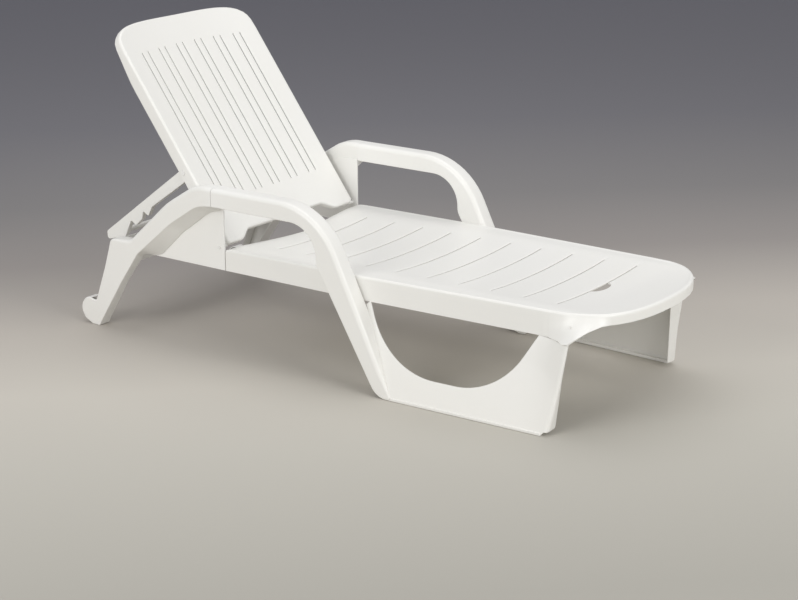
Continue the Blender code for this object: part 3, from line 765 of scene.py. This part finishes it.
LEG_HOLLOW = [(-0.5000, 0.4690, 0.008), (-0.5050, 0.4160, 0.012), (-0.5450, 0.3880, 0.05),
              (-0.6500, 0.3040, 0.04), (-0.6940, 0.2660, 0.03), (-0.7680, 0.1600, 0.20),
              (-0.8680, 0.0060, 0.0), (-0.8680, -0.01, 0.0), (-0.9200, -0.01, 0.0), (-0.9200, 0.014, 0.0),
              (-0.9430, 0.0500, 0.030), (-0.9160, 0.0840, 0.026), (-0.8720, 0.0850, 0.010),
              (-0.8245, 0.2030, 0.15), (-0.7955, 0.2905, 0.016), (-0.7145, 0.2985, 0.036)]


def leg_half(x, z):
    """The legs draw in from the arms to the heels."""
    return ramp(x, -0.944, SEAM_X, HEEL_HALF, ARM_HALF)


def build_rear_leg(side, name):
    leg = crowned(f"rear_leg_shell_{name}", LEG_CORNERS, side, level(ARM_INNER - 0.001), leg_half, cut=0)
    hollow = slab("hollow", rounded(LEG_HOLLOW)[0], side, level(ARM_INNER - 0.03),
                  lambda x, z: leg_half(x, z) - WALL)
    carve(leg, hollow)
    settle(leg, [hollow])
    fit(leg, "frame", "white_plastic", f"rear_leg_{name}")


for side, name in SIDES:
    build_rear_leg(side, name)


# ---- Side panels and cross-beam of the rear moulding -----------------------------------------------
# A flat panel closes the arch behind each rail and carries the backrest's pin. The cross-beam ties
# the two rear legs together, and its ridge is what the prop's notches hook over.
PANEL_EDGE = 0.0012
PANEL_CORNERS = [(REAR_END, 0.470, 0.0), (REAR_END, rail_low.z, 0.0), (-0.716, rail_low.z, 0.004),
                 (-0.7040, 0.270, 0.03), (-0.664, 0.300, 0.04), (-0.560, 0.4100, 0.12),
                 (-0.448, 0.468, 0.16)]
beam_low, beam_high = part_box("rear_cross_beam")
RIDGE_WIDTH, RIDGE_HEIGHT = 0.008, 0.0094
RIBS, RIB_REACH, RIB_WALL = 7, 0.27, 0.003


def build_panel(side, name):
    corners = [(*corner, PANEL_EDGE) for corner in PANEL_CORNERS]
    panel = crowned(f"side_panel_{name}", corners, side, level(ARM_INNER - 0.0048),
                    level(ARM_INNER - 0.0003), cut=0, rings=2)
    settle(panel)
    fit(panel, "frame", "white_plastic", f"rear_side_panel_{name}")


for side, name in SIDES:
    build_panel(side, name)


def build_beam():
    """A channel open below, stiffened by thin ribs, with the ridge along its rear edge."""
    x0, x1, z0, z1 = beam_low.x, beam_high.x, beam_low.z, beam_high.z
    top = z1 - RIDGE_HEIGHT
    corners = [(x0, z0, 0.0), (x0, z1, 0.003), (x0 + RIDGE_WIDTH, z1, 0.003), (x0 + RIDGE_WIDTH, top, 0.004),
               (x1, top, 0.006), (x1, z0, 0.0), (x1 - WALL, z0, 0.0), (x1 - WALL, top - WALL, 0.003),
               (x0 + WALL, top - WALL, 0.003), (x0 + WALL, z0, 0.0)]
    beam = slab("cross_beam", rounded(corners, 15)[0], 1, level(-beam_high.y), level(beam_high.y))
    outline = [(x0 + 0.002, z0 + 0.006), (x0 + 0.002, top - 0.002), (x1 - 0.002, top - 0.002),
               (x1 - 0.002, z0 + 0.006)]
    ribs = []
    for i in range(RIBS):
        y = between(-RIB_REACH, RIB_REACH, i / (RIBS - 1))
        ribs.append(slab("rib", outline, 1, level(y - RIB_WALL / 2), level(y + RIB_WALL / 2)))
        carve(beam, ribs[-1], "UNION")
    soften(beam, 0.0008)
    settle(beam, ribs)
    fit(beam, "frame", "white_plastic", "rear_cross_beam")


build_beam()


# ---- Backrest: slatted and dished, hinged at its lower ears ----------------------------------------
# A separate moulding of the same resin: pairs of narrow slots, a crowned top, raised sides that roll
# over into stiffening flanges, and an arch cut out of its lower edge between the two ears.
hinge = next(joint for joint in frame["joints"] if joint["name"] == "recline")["pos_m"]
HINGE = Vector((hinge[0], 0.0, hinge[2]))
BACK_ANGLE = math.radians(53.5)
UP = Vector((-math.cos(BACK_ANGLE), 0.0, math.sin(BACK_ANGLE)))
FACE = Vector((math.sin(BACK_ANGLE), 0.0, math.cos(BACK_ANGLE)))
BACK_LENGTH, BACK_HALF = 0.760, 0.307
BACK_CROWN, CROWN_POWER = 0.10, 3.5     # drop of the top edge at the corners, and the power of its curve
BACK_ROLL = 0.009                       # from the face's border to the flange's outside
BACK_PROFILE = [(0.0030, 0.0004), (0.0058, -0.0008), (0.0078, -0.0028), (BACK_ROLL, -0.0060)]
PAIRS, PAIR_PITCH, PAIR_WIDTH = 6, 0.0858, 0.0298
BACK_LIP = (0.0055, 0.0032, 0.0015)     # bends of the lip beside a slot; the last is its edge
BACK_SLOT_LOW, BACK_SLOT_HIGH = 0.137, 0.663
END_FLANGE, SIDE_FLANGE, TOP_FLANGE = 0.018, 0.040, 0.026


def back_place(s, y, n):
    """A place from the distance up the backrest, across it and out of its face."""
    return HINGE + UP * s + FACE * n + Vector((0.0, y, 0.0))


def back_top(y):
    curve = max(0.0, 1 - (abs(y) / (BACK_HALF - BACK_ROLL)) ** CROWN_POWER) ** (1 / CROWN_POWER)
    return BACK_LENGTH - BACK_CROWN - BACK_ROLL + BACK_CROWN * curve


def back_bottom(y):
    """The lower edge: an arch between the ears, which reach down past the hinge."""
    return ease(abs(y), 0.175, 0.240, 0.036, 0.006)


def back_dish(y):
    return 0.022 * (abs(y) / BACK_HALF) ** 2.2


def pair_middle(pair):
    return (pair - (PAIRS - 1) / 2) * PAIR_PITCH


def build_backrest():
    edge = BACK_HALF - BACK_ROLL
    columns = []
    slot_columns = set()
    for pair in range(PAIRS):
        for half in (-1, 1):
            y = pair_middle(pair) + half * PAIR_WIDTH / 2
            slot_columns.add(round(y - BACK_LIP[-1], 5))
            columns += [y - bend for bend in BACK_LIP] + [y + bend for bend in BACK_LIP]
    for pair in range(PAIRS + 1):
        middle = (pair - PAIRS / 2) * PAIR_PITCH
        columns += [middle - 0.009, middle + 0.009]
    columns += [pair_middle(pair) for pair in range(PAIRS)]
    columns += [sign * edge * math.sin(math.radians(angle)) for angle in (72, 78, 84, 90) for sign in (-1, 1)]
    columns = sorted(columns)
    # rows are shares of three zones: below the slots, along them and above them
    rows = [(0, 0.0), (0, 0.3), (0, 0.65), (0, 0.94)]
    rows += [(1, 0.0), (1, 0.006)] + [(1, 0.05 + 0.9 * i / 14) for i in range(15)] + [(1, 0.994)]
    rows += [(2, 0.0), (2, 0.08), (2, 0.3), (2, 0.5), (2, 0.7), (2, 0.85), (2, 0.95), (2, 1.0)]
    work = bmesh.new()
    grid = []
    for zone, share in rows:
        line = []
        for y in columns:
            high = min(BACK_SLOT_HIGH - 0.25 * y * y, back_top(y) - 0.02)
            marks = (back_bottom(y), BACK_SLOT_LOW, high, back_top(y))
            s = between(marks[zone], marks[zone + 1], share)
            away = min(abs(abs(y - pair_middle(pair)) - PAIR_WIDTH / 2) for pair in range(PAIRS))
            lip = -0.0016 * max(0.0, 1 - away / 0.0062) ** 1.5 if zone == 1 else 0.0
            line.append(work.verts.new(back_place(s, y, back_dish(y) + lip)))
        grid.append(line)
    for i in range(len(rows) - 1):
        for j in range(len(columns) - 1):
            if not (rows[i][0] == 1 and round(columns[j], 5) in slot_columns):
                work.faces.new((grid[i][j], grid[i][j + 1], grid[i + 1][j + 1], grid[i + 1][j]))
    # the border rolls over into the flanges, deepest along the sides
    border = grid[0] + [row[-1] for row in grid[1:]] + grid[-1][-2::-1] + [row[0] for row in grid[-2:0:-1]]
    places = []
    for vertex in border:
        away = vertex.co - HINGE
        places.append((-away.x * math.cos(BACK_ANGLE) + away.z * math.sin(BACK_ANGLE), vertex.co.y))
    outward = []
    for i in range(len(border)):
        s0, y0 = places[i - 1]
        s1, y1 = places[(i + 1) % len(border)]
        way = Vector((-(y1 - y0), s1 - s0)).normalized()
        outward.append(UP * way.x + Vector((0.0, way.y, 0.0)))
    strip = [border]
    for offset, rise in BACK_PROFILE:
        strip.append([work.verts.new(v.co + way * offset + FACE * rise) for v, way in zip(border, outward)])
    depths = []
    for s, y in places:
        side = ease(abs(y), BACK_HALF - 0.035, BACK_HALF - 0.012, 0.0, 1.0)
        along = between(SIDE_FLANGE, TOP_FLANGE, ease(s, 0.55, 0.70, 0.0, 1.0))
        depths.append(between(END_FLANGE, along, side))
    rolled = strip[-1]
    for share in (0.35, 0.7, 1.0):
        strip.append([work.verts.new(v.co - FACE * (depth - 0.006) * share)
                      for v, depth in zip(rolled, depths)])
    for low, high in zip(strip, strip[1:]):
        join(work, low, high, closed=True)
    back = skin("backrest_shell", work, FACE)
    soften(back, EDGE)
    settle(back)
    fit(back, "backrest", "white_plastic", "backrest")


build_backrest()


# ---- Prop frame: what holds the backrest up --------------------------------------------------------
# Two notched arms joined by a round bar at each end, moulded in one. It hangs on pins in the
# backrest's flanges, and its notches hook over the cross-beam to set the angle.
PROP_INNER, PROP_OUTER, PROP_EDGE = 0.281, 0.299, 0.0022
PROP_CORNERS = [(-0.885, 0.262, 0.010), (-0.886, 0.289, 0.010), (-0.570, 0.527, 0.03),
                (-0.546, 0.545, 0.014), (-0.530, 0.531, 0.010), (-0.531, 0.512, 0.010),
                (-0.560, 0.488, 0.02), (-0.690, 0.396, 0.010), (-0.707, 0.364, 0.004),
                (-0.7275, 0.377, 0.004), (-0.733, 0.351, 0.005), (-0.760, 0.326, 0.005),
                (-0.780, 0.339, 0.004), (-0.807, 0.2825, 0.006)]


def bar(name, radius, reach, x, z):
    """A round bar across the lounger, between its two arms."""
    work = bmesh.new()
    turns = [2 * math.pi * i / 32 for i in range(32)]
    rings = [[work.verts.new((x + radius * math.cos(turn), y, z + radius * math.sin(turn))) for turn in turns]
             for y in (-reach, reach)]
    return solid(name, work, rings)


def build_prop():
    corners = [(*corner, PROP_EDGE) for corner in PROP_CORNERS]
    prop = crowned("prop_shell", corners, 1, level(PROP_INNER), level(PROP_OUTER), rings=3, step=12)
    other = crowned("prop_other", corners, -1, level(PROP_INNER), level(PROP_OUTER), rings=3, step=12)
    low = bar("prop_low", 0.0088, 0.290, -0.8735, 0.2775)
    high = bar("prop_high", 0.0070, 0.290, -0.580, 0.490)
    for extra in (other, low, high):
        carve(prop, extra, "UNION")
    settle(prop, [other, low, high])
    fit(prop, "prop", "white_plastic", "prop_frame")


build_prop()


# ---- Wheels: two small moulded rollers in the heels ------------------------------------------------
# Each is one moulding of grey-white resin: a hub, a recessed web and a rim with two grooves. It turns
# on a steel stub axle that is pressed into the heel.
wheel_resin = resin("wheel_resin", (0.72, 0.72, 0.70), 0.48, 0.2)
BORE, HUB, WEB_SINK = 0.0044, 0.010, 0.004


def build_wheel(side, name):
    low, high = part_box(f"wheel_{name}")
    centre = (low + high) / 2
    r, half = (high.x - low.x) / 2, (high.y - low.y) / 2
    section = [(BORE, half), (HUB, half), (0.012, half - WEB_SINK), (0.024, half - WEB_SINK), (0.026, half),
               (r - 0.0015, half), (r, half - 0.0015), (r, 0.004), (r - 0.0016, 0.003), (r - 0.0016, 0.001),
               (r, 0.0), (r, -0.003), (r - 0.0016, -0.004), (r - 0.0016, -0.006), (r, -0.007),
               (r - 0.0015, -half), (0.026, -half), (0.024, WEB_SINK - half), (0.012, WEB_SINK - half),
               (HUB, -half), (BORE, -half)]
    work = bmesh.new()
    turns = [2 * math.pi * i / 56 for i in range(56)]
    rings = [[work.verts.new((centre.x + radius * math.cos(turn), centre.y + y,
                              centre.z + radius * math.sin(turn))) for radius, y in section]
             for turn in turns]
    for one, following in zip(rings, rings[1:] + rings[:1]):
        join(work, one, following, closed=True)
    bmesh.ops.recalc_face_normals(work, faces=work.faces[:])
    wheel = new_piece(f"roller_{name}", work, wheel_resin)
    settle(wheel, angle=30)
    fit(wheel, f"wheel_{name}", "wheel_plastic", f"wheel_{name}")


for side, name in SIDES:
    build_wheel(side, name)


# ---- Pins, pegs, plates and axles: the small parts that hold the mouldings together ----------------
# Turned or moulded pieces that the frame already has at their true shape: they only need their
# finish, which is resin for the pins, pegs and plates, and drawn steel for the axles.
pin_resin = resin("pin_resin", (0.80, 0.795, 0.775), 0.33)


def drawn_steel():
    """Bright drawn bar: fine rings across the axle and a light tarnish."""
    paint = Paint("drawn_steel")
    rings = paint.streaks((30.0, 2400.0, 30.0), 2.0)
    tarnish = paint.noise(60.0)
    paint.put(Base_Color=paint.mix(tarnish * 0.6, (0.62, 0.63, 0.65, 1.0), (0.47, 0.45, 0.43, 1.0)),
              Metallic=1.0, Roughness=0.26 + rings * 0.2 + tarnish * 0.1,
              Normal=paint.bump(rings, 0.2, 0.0002))
    return paint.material


axle_steel = drawn_steel()
for _, name in SIDES:
    for node, material in ((f"backrest_pin_{name}", pin_resin), (f"prop_pin_{name}", pin_resin),
                           (f"arm_peg_{name}", pin_resin), (f"rail_joint_plate_{name}", white_resin),
                           (f"wheel_axle_{name}", axle_steel)):
        kept = frame["nodes"][node]
        kept.data.materials.clear()
        kept.data.materials.append(material)
        kept.data.shade_smooth()
        kept.data.set_sharp_from_angle(angle=math.radians(35))
